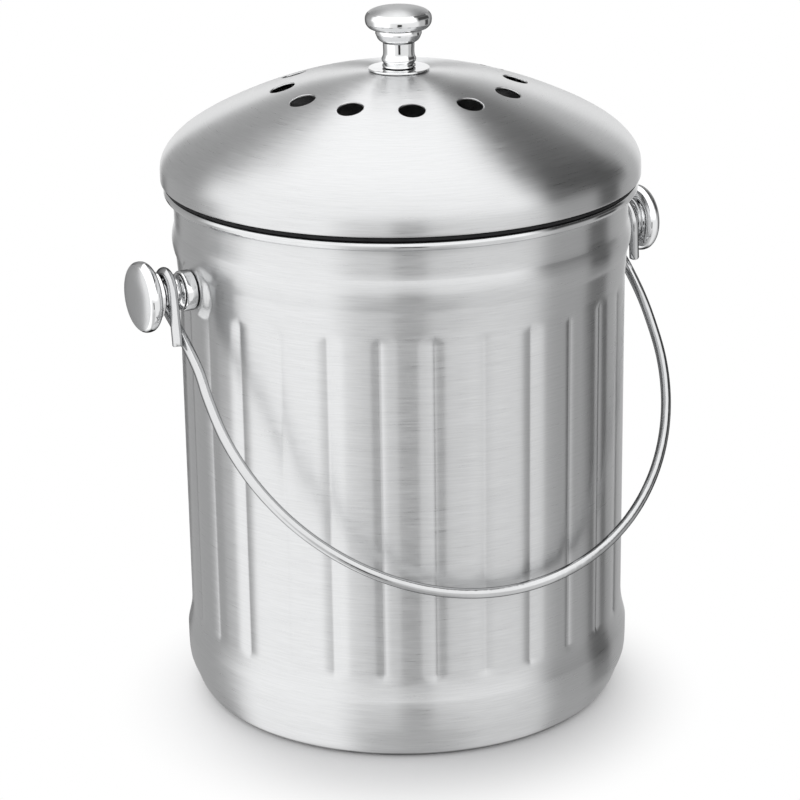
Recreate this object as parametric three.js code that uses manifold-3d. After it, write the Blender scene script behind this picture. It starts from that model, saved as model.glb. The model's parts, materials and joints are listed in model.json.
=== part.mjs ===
// Stainless-steel kitchen compost pail with a lift-off domed lid, a charcoal filter and a wire bail.
// Millimetres, +Z up. The origin is the centre of the flat underside, +X runs along the bail's pivot
// axis towards the right-hand knob, and the bail rests against the front, which faces -Y.

import * as THREE from 'three';
import { mergeVertices } from 'three/addons/utils/BufferGeometryUtils.js';
import Module from 'manifold-3d';

const wasm = await Module();
wasm.setup();

// Fits and sheet
const seatGap = 0.3; // between two pieces that touch
const sheet = 0.8; // steel sheet of the pail and the lid
const cutOverrun = 2; // how far a cut runs past the surface it opens

// Pail body: the panel's radius, and how far the rest of the wall steps out from it
const panelRadius = 89.3;
const floorInset = 5.3;
const bandStep = 1.9;
const shoulderStep = 0.7;
const beadStep = 2.1;
const neckStep = 0.9;
const floorRadius = panelRadius - floorInset;
const bandRadius = panelRadius + bandStep;
const bandStart = 19;
const bandHeight = 6;
const waistHeight = 11;
const bandEnd = bandStart + bandHeight;
const waistEnd = bandEnd + waistHeight;
const creaseCount = 28;
const creaseFootDrop = 3; // the creases start this far below the waist's end
const creaseStart = waistEnd - creaseFootDrop;
const creaseRunOut = 6;
const creaseWidth = 9;
const creaseDepth = 1;
const firstCreaseDegrees = 5.35; // from the front (-Y) towards +X
const shoulderRadius = panelRadius + shoulderStep;
const beadRadius = panelRadius + beadStep;
const neckRadius = panelRadius + neckStep;
const pailHeight = 212.3;
const neckLength = 15.5; // from the bead up to the rim's top
const beadUpperLength = 5.8;
const beadLowerLength = 6.5;
const creaseEndDrop = 9.5; // the creases end this far below the bead
const beadEnd = pailHeight - neckLength;
const beadMiddle = beadEnd - beadUpperLength;
const beadStart = beadMiddle - beadLowerLength;
const creaseEnd = beadStart - creaseEndDrop;
const curlRadius = 1.9;
const curlStartDegrees = -150;
const rimRadius = neckRadius + 2 * curlRadius;
const curlNeckShare = 3; // of the curl's radius, from the rim's top down to where the curl leaves the neck
const baseCornerShares = [[0, 0], [0.236, 0.079], [0.472, 0.21], [0.68, 0.42], [0.944, 0.684], [1, 1]];
const waistShares = [[0, 0], [0.5, 0.35], [0.9, 0.73], [1, 1]];
const swageShares = [[0, 0], [0.62, 0.42], [1, 1]];

// Pressed bosses, and the screws through them
const pivotDrop = 4.6; // below the bead
const pivotHeight = beadStart - pivotDrop;
const bossStep = 2.3;
const bossFace = panelRadius + bossStep; // from the pail's axis
const bossFaceRadius = 9.5;
const bossFootRadius = 12;
const bossLength = 4;
const screwRadius = 2.1;
const screwClearance = 0.3;
const screwHeadRadius = 4.6;
const screwHeadHeight = 2.6;
const screwReach = 9; // of the thread into a knob

// Side knobs and collars, outwards along the pivot axis
const collarRadius = 7.9;
const collarLength = 4.7;
const collarRounding = 0.7;
const sideKnob = {
  footRadius: 7.1,
  footLength: 0.5,
  neckRadius: 5.1,
  neckStart: 2.4,
  neckEnd: 6.2,
  cupFoot: 8.1,
  cupFootRadius: 6.6,
  cupLength: 9.4,
  cupRadius: 9.2,
  headFoot: 10.9,
  headFootRadius: 9,
  headLength: 14.6,
  headRadius: 13.8,
  length: 19.5,
};

// Lid, measured up from the lower edge of its hem
const lidGap = 1.9; // from the rim to the hem's lower edge
const lidOverhang = 1;
const lidRadius = rimRadius + lidOverhang;
const hemWidth = 1.8;
const hemHeight = 2.2;
const hemChamferWidth = 0.3;
const hemChamferHeight = 0.6;
const domeHeight = 41.3;
const domeFlatRadius = 14;
const domeShares = [
  [1, 0.087], [0.997, 0.169], [0.978, 0.267], [0.925, 0.398], [0.845, 0.521],
  [0.736, 0.647], [0.611, 0.768], [0.459, 0.886], [0.33, 0.957], [0.205, 0.991],
];
const ventCount = 12;
const ventRadius = 5.1;
const ventCircleRadius = 46.5;
const ventTiltDegrees = 15;
const firstVentDegrees = 8.4;
const ventCutLength = 12;

// Locating skirt and seal under the hem
const skirtClearance = 0.8; // to the inside of the neck
const skirtDepth = 14;
const sealInset = 0.1; // from the outside of the rim

// Lid knob and the washers that clamp it
const knobWasherRadius = 12.05;
const knobWasherThickness = 0.8;
const lidKnob = {
  baseRadius: 6.5,
  baseLength: 0.8,
  grooveRadius: 5.9,
  grooveHeight: 1.2,
  bulgeRadius: 6.8,
  bulgeHeight: 3,
  stemRadius: 6.2,
  stemStart: 4.8,
  stemEnd: 9.6,
  cupLength: 13.2,
  cupRadius: 9.1,
  headFoot: 14.7,
  headFootRadius: 8.9,
  headLength: 18.7,
  headRadius: 13.1,
  length: 23.7,
};
const crownShares = [[1, 0], [0.985, 0.29], [0.9, 0.58], [0.71, 0.815], [0.42, 0.957], [0, 1]];
const cupShares = [[0, 0], [0.62, 0.36], [1, 1]];
const undersideShares = [[0, 0], [0.62, 0.2], [0.93, 0.6]];

// Washers inside the pail and the lid
const rubberWasherRadius = 7.6;
const rubberWasherThickness = 1.5;
const steelWasherRadius = 7;
const steelWasherThickness = 1;
const lidInnerWasherRadius = 10;

// Filter and its tray, measured up from the hem's lower edge
const trayFloor = 14;
const trayFloorThickness = 1.6;
const trayRimHeight = 27;
const trayWall = 1.8;
const trayFlangeHeight = 23;
const trayFlangeThickness = 1.4;
const trayLedge = 5;
const trayHubRadius = 9;
const trayBarWidth = 3;
const trayBarCount = 4; // bars right across, so twice as many spokes
const trayClearance = 1.38; // from the tray's upper edge to the dome
const filterThickness = 10;

// Bail: wire, arch and eyes. In the bail's own plane, down is away from the pivot axis and out is square
// to the plane on the side that faces away from the pail.
const wireRadius = 2.1;
const knobSeat = bossFace + seatGap + collarLength + seatGap;
const eyeBackStand = 4; // from the knob's seat out to where the wire meets the eye
const eyeFrontStand = 5.9; // and out to where it leaves the eye
const archInset = 1.6; // the arch lies this much nearer the pail than the start of the eye
const archRadius = knobSeat + eyeBackStand - archInset;
const archCentreDown = 45.1;
const bailRestGap = 2.954; // from the foot of the hanging bail to the wall
const eyeBendDown = 30;
const leftEye = { radius: 8.2, down: 0, out: 0, tailStand: 7.1, tailDown: 22, tailOut: -1 };
const rightEye = { radius: 9.4, down: 1, out: 1, tailStand: 7.6, tailDown: 16.8, tailOut: -2.9 };
const tailMiddleShare = 0.5;
const legShare = 0.7; // of the way from the arch's end to the bend below the eye
const approachShare = 0.3; // of the way from the bend to the eye

// Facets
const creaseColumns = 3;
const lidSegments = 48;
const ringSegments = 40;
const knobSegments = 18;
const washerSegments = 14;
const ventSegments = 12;
const curlSteps = 5;
const lipSteps = 3;
const wireSides = 8;
const wireSteps = 124;
const archStepDegrees = 10;
const eyeSteps = 10;
const weldDistance = 1e-4;

const fullTurn = 2 * Math.PI;

// Shared geometry helpers

function point(radius, height) {
  return new THREE.Vector2(radius, height);
}

function between(from, to, shares) {
  return shares.map(([across, up]) => point(
    THREE.MathUtils.lerp(from.x, to.x, across),
    THREE.MathUtils.lerp(from.y, to.y, up),
  ));
}

function arc(centre, radius, fromDegrees, toDegrees, steps) {
  const points = [];
  for (let i = 0; i <= steps; i += 1) {
    const angle = THREE.MathUtils.degToRad(THREE.MathUtils.lerp(fromDegrees, toDegrees, i / steps));
    points.push(point(centre.x + radius * Math.cos(angle), centre.y + radius * Math.sin(angle)));
  }
  return points;
}

// A coarser choice of the same shares, for the hidden side of a wall.
function everyOther(shares) {
  return shares.filter((_, i) => i % 2 === 0 || i === shares.length - 1);
}

function everyOne(shares) {
  return shares;
}

// Moves an outline towards its left-hand side, which is the inside of a wall drawn from the floor up.
function inset(outline, distance) {
  return outline.map((here, i) => {
    const before = outline[Math.max(i - 1, 0)];
    const after = outline[Math.min(i + 1, outline.length - 1)];
    const into = (i === 0 ? after.clone().sub(here) : here.clone().sub(before)).normalize();
    const onwards = (i === outline.length - 1 ? into : after.clone().sub(here).normalize());
    const along = into.clone().add(onwards).normalize();
    const stretch = distance / along.dot(into);
    return point(Math.max(here.x - along.y * stretch, 0), here.y + along.x * stretch);
  });
}

// A body of revolution about Z from an outline in (radius, height).
function turned(outline, segments, start = 0) {
  const geometry = new THREE.LatheGeometry(outline, segments, start, fullTurn);
  geometry.rotateX(Math.PI / 2);
  return weld(geometry);
}

function closed(outline) {
  return [...outline, outline[0].clone()];
}

function ring(innerRadius, outerRadius, low, high, segments) {
  return turned(closed([
    point(innerRadius, low),
    point(outerRadius, low),
    point(outerRadius, high),
    point(innerRadius, high),
  ]), segments);
}

function disc(radius, low, high, segments) {
  return turned([point(0, low), point(radius, low), point(radius, high), point(0, high)], segments);
}

// Joins equal corners and leaves out triangles that have shrunk to a line.
function weld(geometry) {
  const bare = geometry.clone();
  bare.deleteAttribute('normal');
  bare.deleteAttribute('uv');
  const merged = mergeVertices(bare, weldDistance);
  const corners = merged.index.array;
  const kept = [];
  for (let i = 0; i < corners.length; i += 3) {
    const [a, b, c] = [corners[i], corners[i + 1], corners[i + 2]];
    if (a !== b && b !== c && c !== a) kept.push(a, b, c);
  }
  merged.setIndex(kept);
  return merged;
}

function toSolid(geometry) {
  const welded = weld(geometry);
  return new wasm.Manifold(new wasm.Mesh({
    numProp: 3,
    vertProperties: new Float32Array(welded.attributes.position.array),
    triVerts: new Uint32Array(welded.index.array),
  }));
}

function toGeometry(solid) {
  const mesh = solid.getMesh();
  const geometry = new THREE.BufferGeometry();
  geometry.setAttribute('position', new THREE.BufferAttribute(new Float32Array(mesh.vertProperties), 3));
  geometry.setIndex(new THREE.BufferAttribute(new Uint32Array(mesh.triVerts), 1));
  return geometry;
}

function named(name, geometry, look) {
  const dressed = geometry.clone();
  dressed.computeVertexNormals();
  const mesh = new THREE.Mesh(dressed, new THREE.MeshStandardMaterial(look));
  mesh.name = name;
  return mesh;
}

const brushedSteel = { color: 0xb9bcc0, roughness: 0.35, metalness: 1 };
const polishedSteel = { color: 0xd8dadd, roughness: 0.08, metalness: 1 };
const plainSteel = { color: 0xa9acb0, roughness: 0.4, metalness: 1 };
const blackRubber = { color: 0x151515, roughness: 0.8, metalness: 0 };
const blackPlastic = { color: 0x1c1d1f, roughness: 0.5, metalness: 0 };
const charcoal = { color: 0x242424, roughness: 1, metalness: 0 };

// Pail body: a drawn shell with a base band, creased panels, a swaged bead, a neck and a curled rim

function wallOutline(pick) {
  const bead = point(beadRadius, beadMiddle);
  return [
    point(0, 0),
    ...between(point(floorRadius, 0), point(bandRadius, bandStart), pick(baseCornerShares)),
    ...between(point(bandRadius, bandEnd), point(panelRadius, waistEnd), pick(waistShares)),
    point(panelRadius, creaseStart + creaseRunOut),
    point(panelRadius, creaseEnd - creaseRunOut),
    point(panelRadius, creaseEnd),
    ...between(point(shoulderRadius, beadStart), bead, pick(swageShares)),
    ...between(point(neckRadius, beadEnd), bead, pick(swageShares)).slice(0, -1).reverse(),
    point(neckRadius, pailHeight - curlRadius * curlNeckShare),
  ];
}

// Each crease takes three columns of the turned wall: its valley and the two edges of its flanks.
function pressCreases(geometry) {
  const columns = creaseCount * creaseColumns;
  const first = THREE.MathUtils.degToRad(firstCreaseDegrees);
  const pitch = fullTurn / creaseCount;
  const flank = creaseWidth / 2 / panelRadius;
  const turns = [0, flank, pitch - flank];
  const places = geometry.attributes.position;
  for (let i = 0; i < places.count; i += 1) {
    const [x, y, z] = [places.getX(i), places.getY(i), places.getZ(i)];
    const column = Math.round((Math.atan2(x, -y) - first) / fullTurn * columns + columns) % columns;
    const part = column % creaseColumns;
    const azimuth = first + Math.floor(column / creaseColumns) * pitch + turns[part];
    const rise = THREE.MathUtils.clamp((z - creaseStart) / creaseRunOut, 0, 1);
    const fall = THREE.MathUtils.clamp((creaseEnd - z) / creaseRunOut, 0, 1);
    const depth = part === 0 ? creaseDepth * rise * fall : 0;
    const radius = Math.max(Math.hypot(x, y) - depth, 0);
    places.setXYZ(i, radius * Math.sin(azimuth), -radius * Math.cos(azimuth), z);
  }
  return geometry;
}

function creasedWall(outline) {
  const start = THREE.MathUtils.degToRad(firstCreaseDegrees);
  return toSolid(pressCreases(turned(outline, creaseCount * creaseColumns, start)));
}

// A cone or rod along +X from one distance to another.
function alongX(fromRadius, toRadius, from, to, segments) {
  const geometry = new THREE.CylinderGeometry(toRadius, fromRadius, to - from, segments);
  geometry.rotateZ(-Math.PI / 2);
  geometry.translate((from + to) / 2, 0, pivotHeight);
  return geometry;
}

function bothSides(geometry) {
  const right = toSolid(geometry);
  return right.add(toSolid(geometry.clone().rotateZ(Math.PI)));
}

function pailBody() {
  const curlCentre = point(rimRadius - curlRadius, pailHeight - curlRadius);
  const lipRadius = curlCentre.x - (neckRadius - sheet);
  const lipCentre = point(curlCentre.x, pailHeight - lipRadius);
  const outside = creasedWall([
    ...wallOutline(everyOne),
    ...arc(curlCentre, curlRadius, curlStartDegrees, 90, curlSteps),
    point(0, pailHeight),
  ]);
  const inside = creasedWall([
    ...inset(wallOutline(everyOther), sheet),
    ...arc(lipCentre, lipRadius, 180, 90, lipSteps),
    point(curlCentre.x, pailHeight + cutOverrun),
    point(0, pailHeight + cutOverrun),
  ]);
  const bossFoot = bossFace - bossLength;
  const boss = alongX(bossFootRadius, bossFaceRadius, bossFoot, bossFace, knobSegments);
  const recessFace = bossFace - sheet;
  const recess = alongX(bossFootRadius - sheet, bossFaceRadius - sheet, bossFoot - sheet, recessFace, knobSegments);
  const holeRadius = screwRadius + screwClearance;
  const hole = alongX(holeRadius, holeRadius, bossFoot, bossFace + cutOverrun, washerSegments);
  const shell = outside.add(bothSides(boss)).subtract(inside).subtract(bothSides(recess));
  return named('pail_body', toGeometry(shell.subtract(bothSides(hole))), brushedSteel);
}

// Side knobs, collars, washers and screws: one stack along +X, turned half round for the left-hand side

function screwHole(outline, radius, depth) {
  return [point(0, depth), point(radius, depth), point(radius, 0), ...outline];
}

function sideKnobOutline(k) {
  return [
    point(k.footRadius, 0),
    point(k.footRadius, k.footLength),
    point(k.neckRadius, k.neckStart),
    point(k.neckRadius, k.neckEnd),
    ...between(point(k.cupFootRadius, k.cupFoot), point(k.cupRadius, k.cupLength), cupShares),
    ...between(point(k.headFootRadius, k.headFoot), point(k.headRadius, k.headLength), undersideShares),
    ...between(point(k.headRadius, k.headLength), point(0, k.length), crownShares.map(([r, h]) => [1 - r, h])),
  ];
}

function collarOutline(holeRadius) {
  return closed([
    point(holeRadius, 0),
    point(collarRadius - collarRounding, 0),
    point(collarRadius, collarRounding),
    point(collarRadius, collarLength - collarRounding),
    point(collarRadius - collarRounding, collarLength),
    point(holeRadius, collarLength),
  ]);
}

function screwOutline(headRadius, headHeight, shankRadius, length) {
  return [
    point(0, -headHeight),
    ...between(point(headRadius, -headHeight / 2), point(headRadius, 0), [[0, 0], [1, 1]]),
    point(shankRadius, 0),
    point(shankRadius, length),
    point(0, length),
  ];
}

// Stands a piece that was turned about Z on the pivot axis, at a distance from the pail's axis.
function onPivot(mesh, distance) {
  mesh.rotation.y = Math.PI / 2;
  mesh.position.set(distance, 0, pivotHeight);
  return mesh;
}

function sideHardware(side) {
  const hole = screwRadius + screwClearance;
  const collarAt = bossFace + seatGap;
  const knobAt = knobSeat;
  const rubberAt = bossFace - sheet - seatGap - rubberWasherThickness;
  const washerAt = rubberAt - seatGap - steelWasherThickness;
  const headAt = washerAt - seatGap;
  const knobOutline = screwHole(sideKnobOutline(sideKnob), hole, screwReach + screwClearance);
  const shank = knobAt + screwReach - headAt;
  const screw = turned(screwOutline(screwHeadRadius, screwHeadHeight, screwRadius, shank), washerSegments);
  const rubber = ring(hole, rubberWasherRadius, 0, rubberWasherThickness, washerSegments);
  const washer = ring(hole, steelWasherRadius, 0, steelWasherThickness, washerSegments);
  const group = new THREE.Group();
  group.add(
    onPivot(named(`${side}_collar`, turned(collarOutline(hole), knobSegments), polishedSteel), collarAt),
    onPivot(named(`${side}_knob`, turned(knobOutline, knobSegments), polishedSteel), knobAt),
    onPivot(named(`${side}_seal_washer`, rubber, blackRubber), rubberAt),
    onPivot(named(`${side}_inner_washer`, washer, plainSteel), washerAt),
    onPivot(named(`${side}_screw`, screw, plainSteel), headAt),
  );
  return group;
}

// Bail: one wire bent to a half circle, with an eye round each knob's neck and a tail that crosses
// outside the wire it came from

function eyePoints(eye) {
  const centre = new THREE.Vector2(eye.down, eye.out);
  const bend = new THREE.Vector2(eyeBendDown, 0).sub(centre);
  const tail = new THREE.Vector2(eye.tailDown, eye.tailOut).sub(centre);
  const back = bend.angle() - Math.acos(eye.radius / bend.length());
  const front = tail.angle() + Math.acos(eye.radius / tail.length());
  const sweepFrom = THREE.MathUtils.euclideanModulo(back, fullTurn);
  const sweepTo = THREE.MathUtils.euclideanModulo(front, fullTurn);
  const points = [];
  for (let i = 0; i <= eyeSteps; i += 1) {
    const angle = THREE.MathUtils.lerp(sweepFrom, sweepTo, i / eyeSteps);
    points.push(new THREE.Vector3(
      knobSeat + THREE.MathUtils.lerp(eyeBackStand, eyeFrontStand, i / eyeSteps),
      eye.down + eye.radius * Math.cos(angle),
      eye.out + eye.radius * Math.sin(angle),
    ));
  }
  const tailEnd = new THREE.Vector3(knobSeat + eye.tailStand, eye.tailDown, eye.tailOut);
  points.push(points[eyeSteps].clone().lerp(tailEnd, tailMiddleShare), tailEnd);
  return points;
}

// Half of the wire from the foot of the arch to a tail, as (along the pivot axis, down, out).
function halfWire(eye) {
  const points = [];
  for (let turn = archStepDegrees; turn <= 90; turn += archStepDegrees) {
    const angle = THREE.MathUtils.degToRad(turn);
    points.push(new THREE.Vector3(
      archRadius * Math.sin(angle),
      archCentreDown + archRadius * Math.cos(angle),
      0,
    ));
  }
  const eyeRun = eyePoints(eye);
  const bend = new THREE.Vector3(archRadius, eyeBendDown, 0);
  points.push(points[points.length - 1].clone().lerp(bend, legShare));
  points.push(bend.clone().lerp(eyeRun[0], approachShare));
  return [...points, ...eyeRun];
}

function bailHandle() {
  const foot = new THREE.Vector3(0, archCentreDown + archRadius, 0);
  const right = halfWire(rightEye);
  const left = halfWire(leftEye).map((p) => p.multiply(new THREE.Vector3(-1, 1, 1)));
  const route = [...left.reverse(), foot, ...right].map((p) => new THREE.Vector3(p.x, -p.z, -p.y));
  const path = new THREE.CatmullRomCurve3(route, false, 'centripetal');
  const section = new THREE.Shape(arc(point(0, 0), wireRadius, 0, 360, wireSides).slice(0, -1));
  const geometry = new THREE.ExtrudeGeometry(section, { steps: wireSteps, extrudePath: path });
  const mesh = named('bail_handle', weld(geometry), polishedSteel);
  mesh.position.z = pivotHeight;
  mesh.rotation.x = -Math.asin((panelRadius + bailRestGap + wireRadius) / (archCentreDown + archRadius));
  return mesh;
}

// Lid: dome, skirt, seal, knob and the screw that clamps it, in a group at the hem's lower edge

function domeOutline(pick) {
  const crown = between(point(0, 0), point(lidRadius, domeHeight), pick(domeShares));
  return [...crown, point(domeFlatRadius, domeHeight), point(0, domeHeight)];
}

function domeInside() {
  return inset(domeOutline(everyOther), sheet);
}

// Radius of the dome's inside at a height above the hem's lower edge.
function domeInsideAt(height) {
  const inside = domeInside();
  const above = inside.findIndex((p) => p.y >= height);
  const [low, high] = [inside[above - 1], inside[above]];
  return THREE.MathUtils.mapLinear(height, low.y, high.y, low.x, high.x);
}

// Height of the dome's outside at a distance from its axis.
function domeHeightAt(radius) {
  const outside = domeOutline(everyOne);
  const within = outside.findIndex((p, i) => i > 0 && p.x <= radius);
  const [far, near] = [outside[within - 1], outside[within]];
  return THREE.MathUtils.mapLinear(radius, far.x, near.x, far.y, near.y);
}

function lidDome() {
  const hemInner = lidRadius - hemWidth;
  const shell = toSolid(turned([
    ...domeInside().reverse(),
    point(hemInner, hemHeight),
    point(hemInner, 0),
    point(lidRadius - hemChamferWidth, 0),
    point(lidRadius, hemChamferHeight),
    ...domeOutline(everyOne),
  ], lidSegments));
  const knobHole = new THREE.CylinderGeometry(
    screwRadius + screwClearance, screwRadius + screwClearance, ventCutLength, washerSegments,
  );
  knobHole.rotateX(Math.PI / 2).translate(0, 0, domeHeight);
  let pierced = shell.subtract(toSolid(knobHole));
  for (let i = 0; i < ventCount; i += 1) {
    const vent = new THREE.CylinderGeometry(ventRadius, ventRadius, ventCutLength, ventSegments);
    vent.rotateX(Math.PI / 2 + THREE.MathUtils.degToRad(ventTiltDegrees));
    vent.translate(0, -ventCircleRadius, domeHeightAt(ventCircleRadius));
    vent.rotateZ(THREE.MathUtils.degToRad(firstVentDegrees) + fullTurn * i / ventCount);
    pierced = pierced.subtract(toSolid(vent));
  }
  return named('lid_dome', toGeometry(pierced), brushedSteel);
}

function lidSkirt() {
  const outer = neckRadius - sheet - skirtClearance;
  const inner = outer - sheet;
  const flange = lidRadius - hemWidth - seatGap;
  return named('lid_skirt', turned(closed([
    point(inner, -skirtDepth),
    point(outer, -skirtDepth),
    point(outer, 0),
    point(flange, 0),
    point(flange, sheet),
    point(inner, sheet),
  ]), ringSegments), plainSteel);
}

function lidSeal() {
  const inner = neckRadius - sheet - skirtClearance + seatGap;
  const outer = rimRadius - sealInset;
  return named('lid_seal', ring(inner, outer, seatGap - lidGap, -seatGap, ringSegments), blackRubber);
}

function lidKnobOutline(k) {
  return [
    point(k.baseRadius, 0),
    point(k.baseRadius, k.baseLength),
    point(k.grooveRadius, k.grooveHeight),
    point(k.bulgeRadius, k.bulgeHeight),
    point(k.stemRadius, k.stemStart),
    ...between(point(k.stemRadius, k.stemEnd), point(k.cupRadius, k.cupLength), cupShares),
    ...between(point(k.headFootRadius, k.headFoot), point(k.headRadius, k.headLength), undersideShares),
    ...between(point(k.headRadius, k.headLength), point(0, k.length), crownShares.map(([r, h]) => [1 - r, h])),
  ];
}

function knobStack() {
  const hole = screwRadius + screwClearance;
  const washerAt = domeHeight + seatGap;
  const knobAt = washerAt + knobWasherThickness + seatGap;
  const innerAt = domeHeight - sheet - seatGap - steelWasherThickness;
  const headAt = innerAt - seatGap;
  const shank = knobAt + screwReach - headAt;
  const knobOutline = screwHole(lidKnobOutline(lidKnob), hole, screwReach + screwClearance);
  const washer = ring(hole, knobWasherRadius, 0, knobWasherThickness, knobSegments);
  const inner = ring(hole, lidInnerWasherRadius, 0, steelWasherThickness, washerSegments);
  const screw = turned(screwOutline(screwHeadRadius, screwHeadHeight, screwRadius, shank), washerSegments);
  const pieces = [
    [named('lid_knob_washer', washer, polishedSteel), washerAt],
    [named('lid_knob', turned(knobOutline, knobSegments), polishedSteel), knobAt],
    [named('lid_inner_washer', inner, plainSteel), innerAt],
    [named('lid_knob_screw', screw, plainSteel), headAt],
  ];
  return pieces.map(([mesh, height]) => mesh.translateZ(height));
}

// Filter tray: a ring with a ledge and crossbars under the filter, and a flange that grips the dome

function trayOuterRadius() {
  return domeInsideAt(trayRimHeight) - trayClearance;
}

function filterTray() {
  const outer = trayOuterRadius();
  const bore = outer - trayWall;
  const flange = domeInsideAt(trayFlangeHeight + trayFlangeThickness) - seatGap;
  const floorTop = trayFloor + trayFloorThickness;
  let tray = toSolid(turned(closed([
    point(bore - trayLedge, trayFloor),
    point(outer, trayFloor),
    point(outer, trayFlangeHeight),
    point(flange, trayFlangeHeight),
    point(flange, trayFlangeHeight + trayFlangeThickness),
    point(outer, trayFlangeHeight + trayFlangeThickness),
    point(outer, trayRimHeight),
    point(bore, trayRimHeight),
    point(bore, floorTop),
    point(bore - trayLedge, floorTop),
  ]), ringSegments));
  tray = tray.add(toSolid(disc(trayHubRadius, trayFloor, floorTop, washerSegments)));
  for (let i = 0; i < trayBarCount; i += 1) {
    const bar = new THREE.BoxGeometry(2 * bore - trayLedge, trayBarWidth, trayFloorThickness);
    bar.translate(0, 0, trayFloor + trayFloorThickness / 2);
    bar.rotateZ(Math.PI * i / trayBarCount);
    tray = tray.add(toSolid(bar));
  }
  return named('filter_tray', toGeometry(tray), blackPlastic);
}

function charcoalFilter() {
  const low = trayFloor + trayFloorThickness + seatGap;
  const radius = trayOuterRadius() - trayWall - seatGap;
  return named('charcoal_filter', disc(radius, low, low + filterThickness, ringSegments), charcoal);
}

function lidGroup() {
  const lid = new THREE.Group();
  lid.add(lidDome(), lidSkirt(), lidSeal(), ...knobStack(), filterTray(), charcoalFilter());
  lid.position.z = pailHeight + lidGap;
  return lid;
}

const pail = new THREE.Group();
const leftHardware = sideHardware('left');
leftHardware.rotation.z = Math.PI;
pail.add(pailBody(), leftHardware, sideHardware('right'), bailHandle(), lidGroup());

export default pail;
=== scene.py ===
import json
import math

import bmesh
import bpy
from mathutils import Matrix, Vector, noise


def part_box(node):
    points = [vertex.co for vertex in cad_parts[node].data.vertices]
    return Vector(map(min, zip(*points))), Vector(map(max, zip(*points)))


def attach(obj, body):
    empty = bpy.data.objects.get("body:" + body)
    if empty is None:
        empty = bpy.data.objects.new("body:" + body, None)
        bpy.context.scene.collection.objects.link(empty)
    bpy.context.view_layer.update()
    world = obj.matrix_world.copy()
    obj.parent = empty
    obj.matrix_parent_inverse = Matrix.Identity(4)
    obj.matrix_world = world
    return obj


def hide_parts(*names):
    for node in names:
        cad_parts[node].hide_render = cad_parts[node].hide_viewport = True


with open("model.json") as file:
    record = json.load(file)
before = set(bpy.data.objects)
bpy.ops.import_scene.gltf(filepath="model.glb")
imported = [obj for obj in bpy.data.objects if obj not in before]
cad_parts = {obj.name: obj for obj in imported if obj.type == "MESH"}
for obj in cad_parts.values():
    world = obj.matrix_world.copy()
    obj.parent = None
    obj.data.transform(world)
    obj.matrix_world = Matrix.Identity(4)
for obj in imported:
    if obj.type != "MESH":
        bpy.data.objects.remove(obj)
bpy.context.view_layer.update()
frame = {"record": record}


# Studio and view
# The pail stands on a pale round table in a white studio, seen from its left front and a little
# above. The studio has soft light panels and dark flags for the steel to mirror.
mm = 0.001
full_turn = 2.0 * math.pi
camera_place = Vector((-482.5, -926.7, 487.2)) * mm
camera_heading = math.radians(27.42)
camera_pitch = math.radians(19.44)
camera_roll = math.radians(-0.85)
camera_lens = 122.2
table_radius = 3.0
table_fade = (0.06, 0.124)
fade_shift = 0.025
table_color = (0.62, 0.62, 0.625, 1.0)
look_at = Vector((0.0, 0.0, 0.13))
lamp_place = Vector((0.2, 1.3, 2.2))
lamp_aim = Vector((0.0, 0.0, 0.1))
lamp_size = 1.3
lamp_power = 16.0
surround_grey = 0.6
# Each panel: the turns and the heights, in degrees, that a surface has to face to mirror it towards
# the camera, the softness of its upright and its level edges, and its grey.
studio_panels = [
    ((-180, 180), (-90, -22), (1, 9), 0.45),
    ((-180, 180), (-90, -36), (1, 7), 0.04),
    ((-200, -86), (-20, 100), (4, 8), 1.05),
    ((82, 200), (0, 100), (6, 5), 1.0),
    ((-50, 40), (-44, 24), (5, 8), 0.93),
    ((-46, -15), (-40, 30), (5, 8), 1.36),
    ((-9, 11), (-40, 14), (9, 6), 0.86),
    ((-10, 14), (-44, -6), (7, 5), 0.62),
    ((-2, 6), (-4, 6), (1.5, 1), 0.03),
    ((-84, -42), (20, 90), (4, 7), 0.46),
    ((-80, -52), (-24, 20), (8, 8), 0.52),
    ((-37, 32), (18, 90), (5, 6), 1.66),
    ((-46, 32), (14, 62), (6, 6), 1.55),
    ((-54, 28), (12, 46), (6, 6), 1.4),
    ((28, 60), (60, 90), (2.5, 7), 0.24),
    ((31, 65), (44, 64), (2.5, 6), 0.12),
    ((37, 69), (12, 46), (3, 5), 0.07),
    ((39, 82), (-40, 20), (5, 8), 0.56),
    ((54, 64), (-5, 17), (2, 3), 0.08),
    ((-85, -77), (-14, 14), (2, 6), 0.1),
]


def add(tree, kind, inputs=None, **settings):
    made = tree.nodes.new("ShaderNode" + kind)
    for setting, value in settings.items():
        setattr(made, setting, value)
    for place, value in (inputs or {}).items():
        if isinstance(value, bpy.types.NodeSocket):
            tree.links.new(value, made.inputs[place])
        else:
            made.inputs[place].default_value = value
    return made


def reckon(tree, operation, *values):
    return add(tree, "Math", dict(enumerate(values)), operation=operation).outputs[0]


def spread(tree, value, low, high, to_low=0.0, to_high=1.0, kind="SMOOTHSTEP"):
    inputs = {"Value": value, "From Min": low, "From Max": high, "To Min": to_low, "To Max": to_high}
    return add(tree, "MapRange", inputs, interpolation_type=kind).outputs[0]


def degrees_of(tree, radians):
    return reckon(tree, "MULTIPLY", radians, 360.0 / full_turn)


def between(tree, value, low, high, soft):
    """One where the value lies between two limits, with soft edges."""
    rise = spread(tree, value, low - soft, low + soft)
    fall = spread(tree, value, high - soft, high + soft, 1.0, 0.0)
    return reckon(tree, "MULTIPLY", rise, fall)


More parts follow.
